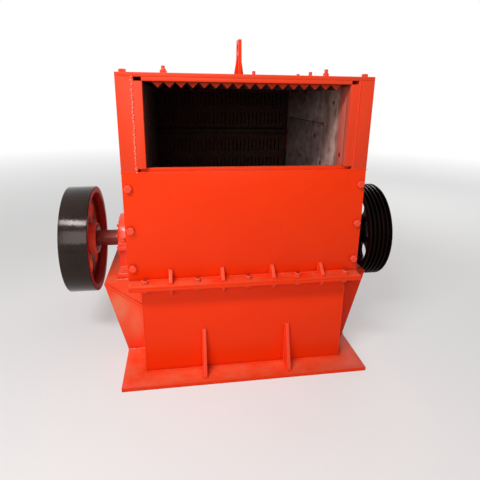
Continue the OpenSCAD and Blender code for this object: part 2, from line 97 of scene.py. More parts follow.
def makeCamera(setup):
    pitch, yaw, roll = (math.radians(setup[k]) for k in ("pitch", "yaw", "roll"))
    ahead = Vector((math.sin(yaw), math.cos(yaw), 0))
    level = Vector((math.cos(yaw), -math.sin(yaw), 0))
    forward = ahead * math.cos(pitch) - upward * math.sin(pitch)
    above = upward * math.cos(pitch) + ahead * math.sin(pitch)
    right = level * math.cos(roll) + above * math.sin(roll)
    up = above * math.cos(roll) - level * math.sin(roll)
    lens = bpy.data.cameras.new("photoCamera")
    lens.lens = setup["lens"]
    lens.sensor_width = setup["sensor"]
    lens.shift_y = setup["shiftY"]
    lens.clip_end = setup["clipEnd"]
    camera = bpy.data.objects.new("photoCamera", lens)
    turn = Matrix((right, up, -forward)).transposed()
    camera.matrix_world = Matrix.Translation(setup["place"]) @ turn.to_4x4()
    scene.collection.objects.link(camera)
    scene.camera = camera


makeCamera(cameraSetup)
print("camera placed")


# small helpers for node trees; an input is a value or another node's socket
def addNode(tree, kind, inputs=None, **settings):
    node = tree.nodes.new(kind)
    for key, value in settings.items():
        setattr(node, key, value)
    feed(tree, node, inputs or {})
    return node


def feed(tree, node, inputs):
    for key, value in inputs.items():
        if isinstance(value, bpy.types.NodeSocket):
            tree.links.new(value, node.inputs[key])
        else:
            node.inputs[key].default_value = value


def addOut(tree, kind, inputs=None, output=0, **settings):
    return addNode(tree, kind, inputs, **settings).outputs[output]


def addMath(tree, operation, a, b=0.0, clamp=False):
    return addOut(tree, "ShaderNodeMath", {0: a, 1: b}, operation=operation, use_clamp=clamp)


def addMix(tree, factor, a, b):
    return addOut(tree, "ShaderNodeMix", {0: factor, 6: a, 7: b}, 2, data_type="RGBA")


def times(tree, a, b, clamp=False):
    return addMath(tree, "MULTIPLY", a, b, clamp)


def plus(tree, a, b):
    return addMath(tree, "ADD", a, b)


# lays one colour over another where the mask is, to a share of its strength
def addLayer(tree, under, over, mask, share):
    return addMix(tree, times(tree, mask, share), under, over)


def addRange(tree, value, low, high, toLow=0.0, toHigh=1.0):
    inputs = {0: value, 1: low, 2: high, 3: toLow, 4: toHigh}
    return addOut(tree, "ShaderNodeMapRange", inputs)


def addNoise(tree, vector, scale, detail, roughness=0.5):
    inputs = {"Vector": vector, "Scale": scale, "Detail": detail, "Roughness": roughness}
    return addOut(tree, "ShaderNodeTexNoise", inputs)


def addBump(tree, height, strength, distance, **under):
    inputs = dict(under, Strength=strength, Distance=distance, Height=height)
    return addOut(tree, "ShaderNodeBump", inputs)


def addStretch(tree, vector, scale, shift=(0, 0, 0)):
    inputs = {"Vector": vector, "Location": shift, "Scale": scale}
    return addOut(tree, "ShaderNodeMapping", inputs)


def addVectorMath(tree, operation, a, b=(0, 0, 0)):
    return addOut(tree, "ShaderNodeVectorMath", {0: a, 1: b}, "Value", operation=operation)


def splitAxes(tree, vector):
    return addNode(tree, "ShaderNodeSeparateXYZ", {0: vector}).outputs


def faceNormal(tree):
    return addOut(tree, "ShaderNodeNewGeometry", output="Normal")


socketKinds = {
    "number": "NodeSocketFloat", "whole": "NodeSocketInt", "vector": "NodeSocketVector",
    "material": "NodeSocketMaterial", "geometry": "NodeSocketGeometry",
}


# an input is given by its kind, or by its first value: an int is whole, a float a number
def newGroup(name, kind, inputs, output):
    group = bpy.data.node_groups.new(name, kind)
    for label, first in inputs.items():
        sort = first if isinstance(first, str) else "whole" if isinstance(first, int) else "number"
        socket = group.interface.new_socket(label, in_out="INPUT", socket_type=socketKinds[sort])
        if sort != first:
            socket.default_value = first
    label, sort = output
    group.interface.new_socket(label, in_out="OUTPUT", socket_type=socketKinds[sort])
    return group, addNode(group, "NodeGroupInput").outputs


def closeGroup(group, result):
    addNode(group, "NodeGroupOutput", {0: result})
    return group


# effects that several materials share: first a cloudy tone between 0 and 1
toneGrain = {"detail": 6.0, "roughness": 0.6, "middle": 0.5}


def makeUnevenTone():
    group, given = newGroup("unevenTone", "ShaderNodeTree", {
        "Vector": "vector", "Scale": 3.0, "Contrast": 0.3,
    }, ("Value", "number"))
    noise = addNoise(group, given["Vector"], given["Scale"], toneGrain["detail"],
                     toneGrain["roughness"])
    low = addMath(group, "SUBTRACT", toneGrain["middle"], given["Contrast"])
    high = plus(group, toneGrain["middle"], given["Contrast"])
    return closeGroup(group, addRange(group, noise, low, high))


# chips and painted highlights on the edges, where the rounded normal turns away from the plain one
chipsAndGlints = {"samples": 4, "plain": 0.985, "turned": 0.80, "scale": 38.0, "detail": 4.0, "most": 0.75}


def makeEdgeWearAndGlint():
    group, given = newGroup("edgeWearAndGlint", "ShaderNodeTree", {
        "Vector": "vector", "Width": 0.004, "Breakup": 0.5,
    }, ("Mask", "number"))
    soft = addOut(group, "ShaderNodeBevel", {"Radius": given["Width"]},
                      samples=chipsAndGlints["samples"])
    turn = addVectorMath(group, "DOT_PRODUCT", soft, faceNormal(group))
    edge = addRange(group, turn, chipsAndGlints["plain"], chipsAndGlints["turned"])
    patchy = addNoise(group, given["Vector"], chipsAndGlints["scale"], chipsAndGlints["detail"])
    kept = addRange(group, patchy, given["Breakup"], chipsAndGlints["most"])
    return closeGroup(group, times(group, edge, kept, clamp=True))


# faces that look up are paler in patches: partly settled dust, partly painted sheen of the light
# from above
dustAndSheenDrifts = {"steep": 0.5, "level": 0.95, "scale": 7.0, "detail": 8.0, "roughness": 0.7,
          "bare": 0.3, "covered": 0.75}


def makeDustAndSheen():
    group, given = newGroup("upFacingDustAndSheen", "ShaderNodeTree", {
        "Vector": "vector", "Amount": 0.5,
    }, ("Mask", "number"))
    height = splitAxes(group, faceNormal(group))["Z"]
    level = addRange(group, height, dustAndSheenDrifts["steep"], dustAndSheenDrifts["level"])
    drift = addNoise(group, given["Vector"], dustAndSheenDrifts["scale"], dustAndSheenDrifts["detail"],
                     dustAndSheenDrifts["roughness"])
    patches = addRange(group, drift, dustAndSheenDrifts["bare"], dustAndSheenDrifts["covered"])
    covered = times(group, level, patches)
    return closeGroup(group, times(group, covered, given["Amount"]))


# painted shade, partly dirt: corners, where little of the surroundings is seen, are darkened by
# ambient occlusion
cornerShadeAndDirtGrain = {"samples": 6, "open": 0.85, "closed": 0.35, "scale": 25.0, "detail": 5.0,
           "thin": 0.25, "thick": 0.60, "least": 0.45}


def makeCornerShadeAndDirt():
    group, given = newGroup("cornerShadeAndDirt", "ShaderNodeTree", {
        "Vector": "vector", "Reach": 0.02,
    }, ("Mask", "number"))
    corners = addOut(group, "ShaderNodeAmbientOcclusion", {"Distance": given["Reach"]}, "AO",
                         samples=cornerShadeAndDirtGrain["samples"])
    patchy = addNoise(group, given["Vector"], cornerShadeAndDirtGrain["scale"], cornerShadeAndDirtGrain["detail"])
    closed = addRange(group, corners, cornerShadeAndDirtGrain["open"], cornerShadeAndDirtGrain["closed"])
    kept = addRange(group, patchy, cornerShadeAndDirtGrain["thin"], cornerShadeAndDirtGrain["thick"], cornerShadeAndDirtGrain["least"])
    return closeGroup(group, times(group, closed, kept))


# enamel follows the plate's slight buckles and shows fine upright runs
skinGrain = {"plateScale": 2.6, "plateDetail": 1.0, "plateDepth": 0.02, "runs": (1, 1, 0.12),
             "peelScale": 90.0, "peelDetail": 2.0, "peelDepth": 0.0006}


def makePaintSkin():
    group, given = newGroup("paintSkin", "ShaderNodeTree", {
        "Vector": "vector", "Peel": 0.25, "Buckle": 0.3,
    }, ("Normal", "vector"))
    plate = addNoise(group, given["Vector"], skinGrain["plateScale"], skinGrain["plateDetail"])
    runs = addStretch(group, given["Vector"], skinGrain["runs"])
    peel = addNoise(group, runs, skinGrain["peelScale"], skinGrain["peelDetail"])
    wave = addBump(group, plate, given["Buckle"], skinGrain["plateDepth"])
    fine = addBump(group, peel, given["Peel"], skinGrain["peelDepth"], Normal=wave)
    return closeGroup(group, fine)


effects = {
    "tone": makeUnevenTone(),
    "edge": makeEdgeWearAndGlint(),
    "dustAndSheen": makeDustAndSheen(),
    "corner": makeCornerShadeAndDirt(),
    "skin": makePaintSkin(),
}
print("effects made")


def useEffect(tree, effect, place, values):
    inputs = dict(values, Vector=place)
    return addOut(tree, "ShaderNodeGroup", inputs, node_tree=effects[effect])


def newMaterial(name):
    material = bpy.data.materials.new(name)
    material.use_nodes = True
    tree = material.node_tree
    shader = tree.nodes["Principled BSDF"]
    place = addOut(tree, "ShaderNodeTexCoord", output="Object")
    return material, tree, shader, place


# what all the paints have in common: clouds, dust with painted sheen and the dust's roughness,
# painted shade with some dirt in the corners, and chips with painted highlights
enamel = {
    "broad": {"Scale": 1.7, "Contrast": 0.28}, "deepShare": 0.65,
    "cloud": {"Scale": 22.0, "Contrast": 0.3}, "cloudLeast": 0.7, "thinWander": 0.008,
    "smear": {"Scale": 9.0, "Contrast": 0.25}, "dustRough": 0.2,
    "corner": {"Reach": 0.035}, "edge": {"Width": 0.004, "Breakup": 0.35},
}
# machine enamel, orange-red on the housing
orangePaint = {
    "tone": (0.93, 0.042, 0.0030, 1), "deep": (0.84, 0.033, 0.0018, 1),
    # the paler colour of up-facing faces is partly dust, partly painted sheen
    "dustAndSheenTone": (0.79, 0.165, 0.075, 1), "chipAndGlint": (0.95, 0.16, 0.075, 1),
    "specular": 0.13, "smooth": 0.26, "dull": 0.40, "dustAndSheen": 0.85, "wear": 0.45,
    # corner: the colour of the painted shade in corners, partly dirt
    "peel": 0.22, "buckle": 0.10, "corner": (0.30, 0.012, 0.002, 1), "cornerShadeAndDirtShare": 0.60,
}
# gussets, nuts and bolt heads stand proud: their paler tone and paler chips are painted highlight
highlitProudPaint = dict(orangePaint, tone=(0.93, 0.070, 0.024, 1), deep=(0.88, 0.050, 0.012, 1),
                  chipAndGlint=(0.95, 0.30, 0.21, 1), wear=0.9, cornerShadeAndDirtShare=0.45, specular=0.30)
# the studs of the split flange are darker
studPaint = dict(orangePaint, tone=(0.42, 0.017, 0.004, 1), deep=(0.28, 0.011, 0.003, 1),
                 chipAndGlint=(0.55, 0.040, 0.014, 1), dustAndSheen=0.3)
# the bearing housings are castings under thicker, glossier enamel
castPaint = dict(orangePaint, specular=0.5, smooth=0.16, dull=0.30, peel=0.5, buckle=0.35)
# painted reflection on the left bracket's glossy face, as pale patches: middle, half sizes and
# strength
bracketReflectionPatches = (
    ((-0.812, -0.475, 0.345), (0.075, 0.10, 0.115), 0.95),
    ((-0.700, -0.475, 0.205), (0.050, 0.10, 0.125), 0.55),
    ((-0.750, -0.475, 0.270), (0.110, 0.10, 0.200), 0.35),
)
# the bracket's paler, less saturated tone is painted reflection as well
bracketPaint = dict(orangePaint, tone=(0.88, 0.070, 0.022, 1), deep=(0.82, 0.052, 0.010, 1),
                    marks=bracketReflectionPatches, reflectionTone=(0.79, 0.19, 0.095, 1))
# round the mouth the enamel is chalkier, and it thins out on the jambs' inner sides
mouthPaint = dict(orangePaint, tone=(0.83, 0.058, 0.018, 1), deep=(0.77, 0.049, 0.012, 1),
                  cornerShadeAndDirtShare=0.25)
jambPaint = dict(mouthPaint, thinY=(-0.724, -0.708), thin=(0.66, 0.120, 0.080, 1))
# painted light and shade inside the wheels: dark red stands in for the orange paint in the shade of
# the dish, a paler orange on the web and hub for the light falling on the hub, and near-black
# painted shade on the web's faces
wheelPaint = {
    "tone": (0.52, 0.022, 0.006, 1), "deep": (0.30, 0.010, 0.004, 1),
    "dustAndSheenTone": (0.50, 0.09, 0.05, 1), "chipAndGlint": (0.85, 0.10, 0.04, 1),
    "specular": 0.18, "smooth": 0.30, "dull": 0.48, "dustAndSheen": 0.4, "wear": 0.5,
    # corner: the colour of the painted shade in the wheel's corners, partly dirt
    "peel": 0.30, "buckle": 0.05, "corner": (0.06, 0.004, 0.002, 1), "cornerShadeAndDirtShare": 0.85,
    "web": (0.95, 0.150, 0.075, 1), "webRadius": 0.310, "webFade": 0.004,
    "paintedSideShade": (0.10, 0.005, 0.003, 1), "sideShadeFacing": (0.6, 0.95), "sideShadeShare": 0.92,
}
markFade = (1.1, 0.45)     # a mark's outer and inner limit, as shares of its half size


# one soft round mark about a point of the surface, from 0 outside to 1 in its middle
def markMask(tree, place, middle, halfSize):
    scaled = addStretch(tree, place, [1 / h for h in halfSize],
                        [-m / h for m, h in zip(middle, halfSize)])
    return addRange(tree, addVectorMath(tree, "LENGTH", scaled), *markFade)


# how far a point is from the rotor's axis
def shaftDistance(tree, place):
    return addVectorMath(tree, "LENGTH", addStretch(tree, place, (0, 1, 1), (0, -shaftY, -shaftZ)))


def makePaint(name, look):
    material, tree, shader, place = newMaterial(name)
    broad = useEffect(tree, "tone", place, enamel["broad"])
    colour = addLayer(tree, look["tone"], look["deep"], broad, enamel["deepShare"])
    # painted light and shade: paler orange inside the web's radius, darkened nearly to black where
    # the face looks along the shaft
    if "web" in look:
        away = shaftDistance(tree, place)
        web = addRange(tree, away, look["webRadius"] + look["webFade"], look["webRadius"])
        colour = addMix(tree, web, colour, look["web"])
        sideways = addMath(tree, "ABSOLUTE", splitAxes(tree, faceNormal(tree))["X"])
        sideShadeAmount = addRange(tree, sideways, *look["sideShadeFacing"], 0.0, look["sideShadeShare"])
        colour = addLayer(tree, colour, look["paintedSideShade"], web, sideShadeAmount)
    # up-facing faces paler: partly dust, partly painted sheen
    dustAndSheen = useEffect(tree, "dustAndSheen", place, {"Amount": look["dustAndSheen"]})
    colour = addMix(tree, dustAndSheen, colour, look["dustAndSheenTone"])
    cloudy = useEffect(tree, "tone", place, enamel["cloud"])
    # pale patches: painted reflection
    for middle, halfSize, strength in look.get("marks", ()):
        mask = markMask(tree, place, middle, halfSize)
        cloud = addRange(tree, cloudy, 0.0, 1.0, enamel["cloudLeast"] * strength, strength)
        colour = addLayer(tree, colour, look["reflectionTone"], mask, cloud)
    if "thinY" in look:
        ragged = times(tree, cloudy, enamel["thinWander"])
        depth = plus(tree, splitAxes(tree, place)["Y"], ragged)
        colour = addMix(tree, addRange(tree, depth, *look["thinY"]), colour, look["thin"])
    # painted shade, partly dirt, darkens the corners
    corner = useEffect(tree, "corner", place, enamel["corner"])
    colour = addLayer(tree, colour, look["corner"], corner, look["cornerShadeAndDirtShare"])
    edge = useEffect(tree, "edge", place, enamel["edge"])
    # paler edges: partly chips, partly painted highlight
    colour = addLayer(tree, colour, look["chipAndGlint"], edge, look["wear"])
    smear = useEffect(tree, "tone", place, enamel["smear"])
    rough = addRange(tree, smear, 0.0, 1.0, look["smooth"], look["dull"])
    rough = plus(tree, rough, times(tree, dustAndSheen, enamel["dustRough"]))
    normal = useEffect(tree, "skin", place, {"Peel": look["peel"], "Buckle": look["buckle"]})
    feed(tree, shader, {"Base Color": colour, "Roughness": rough, "Normal": normal,
                        "Specular IOR Level": look["specular"]})
    return material


# what the cast liners have in common: blotches, chips with painted highlights on the edges, painted
# shade with soot in the corners, and pits
casting = {
    "blotch": {"Scale": 5.0, "Contrast": 0.22}, "gritContrast": 0.16, "ragged": 0.012,
    "edge": {"Width": 0.005, "Breakup": 0.2}, "edgeShare": 0.7, "mouthLightLeast": 0.35,
    # the corner colour is painted shade, partly soot
    "corner": {"Reach": 0.030}, "linerCornerShadeAndSoot": (0.0015, 0.0008, 0.0007, 1), "linerCornerShadeAndSootShare": 0.85,
    "pitScale": 120.0, "pitDetail": 5.0, "pitRoughness": 0.7, "pitStrength": 0.55,
    "pitDepth": 0.002,
}
# bare cast manganese steel with a film of rust; paint overspray ends at sprayY, and the
# right liners are paler towards the mouth: painted light that falls in through the mouth
# painted light: the right liners are a paler copy of the steel
litRightLinerMetal = {
    "steel": (0.34, 0.225, 0.215, 1), "rust": (0.17, 0.070, 0.052, 1),
    "pale": (0.80, 0.58, 0.53, 1), "grit": 14.0, "gritShare": 0.60,
    "rough": (0.45, 0.75), "metallic": 0.1, "specular": 0.4,
    "sprayY": -0.560, "sprayEnd": 0.03, "spray": (0.74, 0.150, 0.105, 1),
    "mouthLight": (0.80, 0.46, 0.38, 1), "mouthLightY": (-0.20, -0.50), "mouthLightShare": 0.65,
}
plugMetal = {
    "steel": (0.090, 0.030, 0.020, 1), "rust": (0.22, 0.050, 0.022, 1),
    "pale": (0.17, 0.10, 0.08, 1), "grit": 34.0, "gritShare": 0.1,
    "rough": (0.45, 0.75), "metallic": 0.2, "specular": 0.3,
}
# painted shade: the left liners are a darker copy of the steel
shadedLeftLinerMetal = dict(plugMetal, steel=(0.060, 0.040, 0.036, 1), rust=(0.11, 0.040, 0.026, 1),
                      gritShare=0.35, sprayY=-0.62, sprayEnd=0.03, spray=(0.30, 0.03, 0.015, 1))
# painted shade: the back liners, hammers and ceiling liners are darkened nearly to black for the
# shade deep in the mouth
shadedBackLinerMetal = {
    "steel": (0.0110, 0.0058, 0.0052, 1), "rust": (0.026, 0.009, 0.007, 1),
    "pale": (0.40, 0.165, 0.130, 1), "grit": 34.0, "gritShare": 0.12,
    "rough": (0.60, 0.85), "metallic": 0.0, "specular": 0.10,
}
shadedCeilingMetal = dict(shadedBackLinerMetal, sprayY=-0.695, sprayEnd=0.008, spray=(0.50, 0.036, 0.010, 1))


def makeLiner(name, look):
    material, tree, shader, place = newMaterial(name)
    blotch = useEffect(tree, "tone", place, casting["blotch"])
    colour = addMix(tree, blotch, look["steel"], look["rust"])
    grit = useEffect(tree, "tone", place, {
        "Scale": look["grit"], "Contrast": casting["gritContrast"]})
    colour = addLayer(tree, colour, look["pale"], grit, look["gritShare"])
    # paler edges and slot rims: partly chips, partly painted highlight
    edge = useEffect(tree, "edge", place, casting["edge"])
    colour = addLayer(tree, colour, look["pale"], edge, casting["edgeShare"])
    ragged = times(tree, addMath(tree, "SUBTRACT", grit, 0.5), casting["ragged"])
    depth = plus(tree, splitAxes(tree, place)["Y"], ragged)
    # painted light: paler towards the mouth, where light falls in
    if "mouthLight" in look:
        mouthLit = addRange(tree, depth, *look["mouthLightY"], 0.0, look["mouthLightShare"])
        patchy = plus(tree, grit, casting["mouthLightLeast"])
        mouthLit = times(tree, mouthLit, patchy, clamp=True)
        colour = addMix(tree, mouthLit, colour, look["mouthLight"])
    if "spray" in look:
        sprayed = addRange(tree, depth, look["sprayY"], look["sprayY"] - look["sprayEnd"])
        colour = addMix(tree, sprayed, colour, look["spray"])
    # painted shade, partly soot, darkens the corners
    corner = useEffect(tree, "corner", place, casting["corner"])
    colour = addLayer(tree, colour, casting["linerCornerShadeAndSoot"], corner, casting["linerCornerShadeAndSootShare"])
    pits = addNoise(tree, place, casting["pitScale"], casting["pitDetail"], casting["pitRoughness"])
    feed(tree, shader, {"Base Color": colour,
                        "Roughness": addRange(tree, grit, 0.0, 1.0, *look["rough"]),
                        "Normal": addBump(tree, pits, casting["pitStrength"], casting["pitDepth"]),
                        "Metallic": look["metallic"], "Specular IOR Level": look["specular"]})
    return material


# fine marks that run round a turned rim, on its unrolled surface: how far it is stretched
# along the shaft and around it, then each pattern's scale, detail and roughness
turning = {
    "along": 60.0, "smear": {"Scale": 6.0, "Contrast": 0.2}, "smearShare": 0.6,
    "marks": (3.0, 6.0, 0.75), "markRange": (0.1, 0.6), "markDepth": 0.0006,
    "specks": (3.2, 4.0, 0.75), "speckStretch": (1.0, 7.0, 1.0), "speckRange": (0.50, 0.62),
    "dabs": (1.0, 3.0, 0.65), "dabStretch": (1.8, 12.0, 1.0), "dabDepth": 0.0010,
}
# the turned rims: nearly black under oil
treadMetal = {
    "dark": (0.0060, 0.0028, 0.0020, 1), "brown": (0.030, 0.013, 0.008, 1),
    "specular": 0.27, "tint": (1.0, 0.88, 0.84, 1), "smooth": 0.030, "dull": 0.12,
    "marks": 0.30, "dabs": 0.80, "scuff": 0.20,
}
sheaveMetal = {
    "dark": (0.0030, 0.0010, 0.0010, 1), "brown": (0.008, 0.0020, 0.0018, 1),
    "specular": 0.09, "tint": (1.0, 0.80, 0.78, 1), "smooth": 0.22, "dull": 0.40,
    "marks": 0.15, "dabs": 0.1, "scuff": 0.10,
}


def makeTurned(name, look):
    material, tree, shader, place = newMaterial(name)
    axes = splitAxes(tree, place)
    around = addMath(tree, "ARCTAN2", addMath(tree, "SUBTRACT", axes["Y"], shaftY),
                     addMath(tree, "SUBTRACT", axes["Z"], shaftZ))
    along = times(tree, axes["X"], turning["along"])
    unrolled = addOut(tree, "ShaderNodeCombineXYZ", {0: along, 1: around})
    marks = addNoise(tree, unrolled, *turning["marks"])
    smear = useEffect(tree, "tone", place, turning["smear"])
    colour = addLayer(tree, look["dark"], look["brown"], smear, turning["smearShare"])
    mix = times(tree, marks, smear)
    rough = addRange(tree, mix, *turning["markRange"], look["smooth"], look["dull"])
    specks = addNoise(tree, addStretch(tree, unrolled, turning["speckStretch"]),
                      *turning["specks"])
    scuffed = addRange(tree, specks, *turning["speckRange"], 0.0, look["scuff"])
    dabs = addNoise(tree, addStretch(tree, unrolled, turning["dabStretch"]), *turning["dabs"])
    marked = addBump(tree, marks, look["marks"], turning["markDepth"])
    feed(tree, shader, {"Base Color": colour, "Roughness": plus(tree, rough, scuffed),
                        "Normal": addBump(tree, dabs, look["dabs"], turning["dabDepth"],
                                          Normal=marked),
                        "Specular IOR Level": look["specular"], "Specular Tint": look["tint"]})
    return material


# turned steel under a thin coat of brown primer
shaftPrimer = {
    "primer": (0.26, 0.026, 0.016, 1), "bare": (0.15, 0.022, 0.016, 1), "rough": (0.28, 0.50),
    "blotch": {"Scale": 14.0, "Contrast": 0.25}, "rings": (40, 1.5, 1.5), "ringScale": 4.0,
    "ringDetail": 4.0, "ringStrength": 0.25, "ringDepth": 0.0005,
}


def makePrimer(name, look):
    material, tree, shader, place = newMaterial(name)
    rings = addNoise(tree, addStretch(tree, place, look["rings"]), look["ringScale"],
                     look["ringDetail"])
    blotch = useEffect(tree, "tone", place, look["blotch"])
    feed(tree, shader, {"Base Color": addMix(tree, blotch, look["primer"], look["bare"]),
                        "Roughness": addRange(tree, blotch, 0.0, 1.0, *look["rough"]),
                        "Normal": addBump(tree, rings, look["ringStrength"], look["ringDepth"])})
    return material


# weld beads under the paint; the ones made by hand are paler, a painted highlight for their glints
beadGrain = {
    "blotch": {"Scale": 60.0, "Contrast": 0.3}, "share": 0.6, "rough": (0.16, 0.34),
    "spatterScale": 300.0, "spatterDetail": 2.0, "spatterStrength": 0.3, "spatterDepth": 0.001,
}
seamPaint = {"tone": orangePaint["tone"], "bead": (0.93, 0.075, 0.025, 1), "specular": 0.15}
glintStitchPaint = {"tone": orangePaint["tone"], "bead": (0.96, 0.45, 0.34, 1), "specular": 0.60}


def makeWeldPaint(name, look):
    material, tree, shader, place = newMaterial(name)
    blotch = useEffect(tree, "tone", place, beadGrain["blotch"])
    spatter = addNoise(tree, place, beadGrain["spatterScale"], beadGrain["spatterDetail"])
    bump = addBump(tree, spatter, beadGrain["spatterStrength"], beadGrain["spatterDepth"])
    colour = addLayer(tree, look["tone"], look["bead"], blotch, beadGrain["share"])
    feed(tree, shader, {"Base Color": colour, "Normal": bump,
                        "Roughness": addRange(tree, blotch, 0.0, 1.0, *beadGrain["rough"]),
                        "Specular IOR Level": look["specular"]})
    return material


materials = {}
for makeMaterial, looks in (
        (makePaint, {
            "housingPaint": orangePaint, "bracketPaint": bracketPaint, "mouthPaint": mouthPaint,
            "jambPaint": jambPaint, "highlitProudPaint": highlitProudPaint, "studPaint": studPaint,
            "castPaint": castPaint, "wheelPaint": wheelPaint}),
        (makeLiner, {
            "litRightLinerMetal": litRightLinerMetal, "shadedLeftLinerMetal": shadedLeftLinerMetal,
            "shadedBackLinerMetal": shadedBackLinerMetal, "shadedCeilingMetal": shadedCeilingMetal,
            "plugMetal": plugMetal}),
        (makeTurned, {"treadMetal": treadMetal, "sheaveMetal": sheaveMetal}),
        (makePrimer, {"shaftPrimer": shaftPrimer}),
        (makeWeldPaint, {"seamPaint": seamPaint, "glintStitchPaint": glintStitchPaint})):
    for materialName, look in looks.items():
        materials[materialName] = makeMaterial(materialName, look)
print("materials made")


def linkPiece(name, mesh):
    piece = bpy.data.objects.new(name, mesh)
    scene.collection.objects.link(piece)
    return piece


def finishPiece(piece, body, slot, *nodes):
    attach(piece, body)
    if nodes:
        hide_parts(*nodes)


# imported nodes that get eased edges: width of the easing in metres, slot and names
easedNodes = {
    "housingPaint": (0.0022, "paint", (
        "base_flange", "lower_front_wall", "lower_back_wall", "lower_left_wall",
        "lower_right_wall", "lower_split_flange", "upper_split_flange", "front_panel",
        "front_liner", "upper_left_wall", "upper_right_wall", "upper_back_wall",
        "side_ribs", "right_bracket", "lifting_lug", "lug_gussets")),
    "highlitProudPaint": (0.0022, "paint", ("base_gussets", "split_gussets")),
    "mouthPaint": (0.0022, "paint", ("lintel_bar", "corner_flanges", "top_cover")),
    "castPaint": (0.003, "paint", ("left_housing", "right_housing", "left_cap", "right_cap")),
    "bracketPaint": (0.0022, "paint", ("left_bracket",)),
    "jambPaint": (0.0022, "paint", ("left_jamb", "right_jamb")),
    "wheelPaint": (0.004, "wheel_paint", ("liner_frame", "flywheel_web")),
    "litRightLinerMetal": (0.003, "wear_metal", ("right_liners",)),
    "shadedLeftLinerMetal": (0.003, "wear_metal", ("left_liners",)),
    "shadedBackLinerMetal": (0.002, "wear_metal", (
        "top_back_liner", "middle_back_liner", "bottom_back_liner", "liner_ledge", "hammers")),
    "shadedCeilingMetal": (0.003, "wear_metal", ("ceiling_liners",)),
    "sheaveMetal": (0.004, "machined_black", ("sheave_web",)),
    "shaftPrimer": (0.002, "shaft_steel", (
        "shaft", "wheel_keys", "rotor_discs", "hammer_pins")),
}
# the distance within which points are one, and the angles of a flat and of a sharp edge
easing = {"joined": 2e-5, "flat": 0.6, "sharp": 32, "segments": 2}


def easeNode(nodeName, width, material, slot):
    work = bmesh.new()
    work.from_mesh(frame["nodes"][nodeName].data)
    bmesh.ops.remove_doubles(work, verts=work.verts, dist=easing["joined"])
    bmesh.ops.dissolve_limit(work, angle_limit=math.radians(easing["flat"]), verts=work.verts,
                             edges=work.edges, use_dissolve_boundaries=False)
    for face in work.faces:
        face.smooth = True
    mesh = bpy.data.meshes.new(nodeName + "_eased")
    work.to_mesh(mesh)
    work.free()
    mesh.materials.append(material)
    piece = linkPiece(nodeName + "_eased", mesh)
    ease = piece.modifiers.new("ease", "BEVEL")
    ease.width = width
    ease.segments = easing["segments"]
    ease.limit_method = "ANGLE"
    ease.angle_limit = math.radians(easing["sharp"])
    ease.harden_normals = True
    finishPiece(piece, frame["nodes"][nodeName]["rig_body"], slot, nodeName)


for materialName, (easeWidth, slotName, nodeNames) in easedNodes.items():
    for nodeName in nodeNames:
        easeNode(nodeName, easeWidth, materials[materialName], slotName)
print("plates and castings eased")


# the two rims, turned from a profile of radius and distance from the inner face; side is
# the way that the rim reaches outward
plainRim = {
    "rimDepth": 0.042, "draft": 0.010, "webFrom": 0.048, "webTo": 0.082, "steps": 256,
    "arcSteps": 4, "sharp": 28, "treadSlack": 0.0005, "grooves": 0, "grooveDepth": 0.0,
}
flywheelRim = dict(plainRim, node="flywheel_rim", side=-1, round=0.004, tread="treadMetal",
                   inside="wheelPaint")
sheaveRim = dict(plainRim, node="sheave_rim", side=1, round=0.002, grooves=5, grooveDepth=0.022,
                 groovePitch=0.031, grooveMargin=0.0055, grooveTop=0.026, grooveLow=0.012,
                 tread="sheaveMetal", inside="sheaveMetal")


def arcPoints(radiusAt, alongAt, size, startTurn, steps):
    turns = [math.radians(startTurn + 90 * i / steps) for i in range(steps + 1)]
    return [(radiusAt + size * math.cos(t), alongAt + size * math.sin(t)) for t in turns]


def rimProfile(rim, radius, width):
    inner = radius - rim["rimDepth"]
    soft = rim["round"]
    land = inner - rim["draft"]
    outline = [(inner + soft, 0.0)]
    outline += arcPoints(radius - soft, soft, soft, -90, rim["arcSteps"])
    for i in range(rim["grooves"]):
        middle = rim["grooveMargin"] + (i + 0.5) * rim["groovePitch"]
        top, low = rim["grooveTop"] / 2, rim["grooveLow"] / 2
        deep = radius - rim["grooveDepth"]
        outline += [(radius, middle - top), (deep, middle - low)]
        outline += [(deep, middle + low), (radius, middle + top)]
    outline += arcPoints(radius - soft, width - soft, soft, 0, rim["arcSteps"])
    outline += [(inner + soft, width), (inner, width - soft)]
    outline += [(land, rim["webTo"]), (land, rim["webFrom"]), (inner, soft)]
    return outline


def turnRim(rim):
    low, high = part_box(rim["node"])
    radius = (high.z - low.z) / 2
    start = high.x if rim["side"] < 0 else low.x
    outline = rimProfile(rim, radius, high.x - low.x)
    steps, count = rim["steps"], len(outline)
    work = bmesh.new()
    rings = []
    for k in range(steps):
        turn = math.tau * k / steps
        rings.append([work.verts.new((start + rim["side"] * along, shaftY + r * math.cos(turn),
                                      shaftZ + r * math.sin(turn))) for r, along in outline])
    treadRadius = radius - rim["grooveDepth"] - rim["round"] - rim["treadSlack"]
    for k in range(steps):
        here, there = rings[k], rings[(k + 1) % steps]
        for i in range(count):
            j = (i + 1) % count
            face = work.faces.new((here[i], here[j], there[j], there[i]))
            face.smooth = True
            onTread = min(outline[i][0], outline[j][0]) > treadRadius
            face.material_index = 0 if onTread else 1
    bmesh.ops.recalc_face_normals(work, faces=work.faces)
    mesh = bpy.data.meshes.new(rim["node"] + "_turned")
    work.to_mesh(mesh)
    work.free()
    mesh.set_sharp_from_angle(angle=math.radians(rim["sharp"]))
    mesh.materials.append(materials[rim["tread"]])
    mesh.materials.append(materials[rim["inside"]])
    piece = linkPiece(rim["node"] + "_turned", mesh)
    finishPiece(piece, "rotor", "machined_black", rim["node"])


turnRim(flywheelRim)
turnRim(sheaveRim)
print("rims turned")


